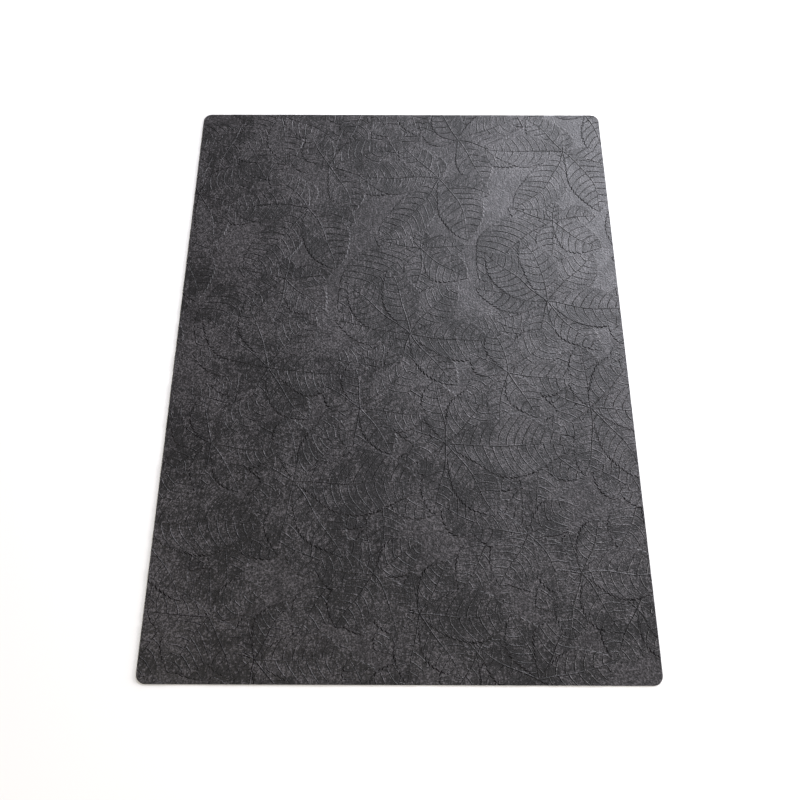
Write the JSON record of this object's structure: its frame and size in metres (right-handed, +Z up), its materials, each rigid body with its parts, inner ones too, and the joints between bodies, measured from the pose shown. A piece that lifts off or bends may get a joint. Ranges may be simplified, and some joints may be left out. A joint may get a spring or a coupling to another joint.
{
  "type": "chair mat",
  "caption": "Flat rectangular floor-protection sheet with rounded corners and a leaf relief pressed into its upper face, for under an office chair.",
  "frame": {"origin": "centre of the underside, on the floor", "axes": "+X across the sheet, +Y along its long side, +Z up out of the embossed face"},
  "size_m": [1, 1.4, 0.0025],
  "materials": {
    "vinyl": "satin anthracite vinyl, mottled and finely grained, with an embossed leaf relief"
  },
  "bodies": {
    "root": {"mat_sheet": "vinyl"}
  },
  "joints": []
}
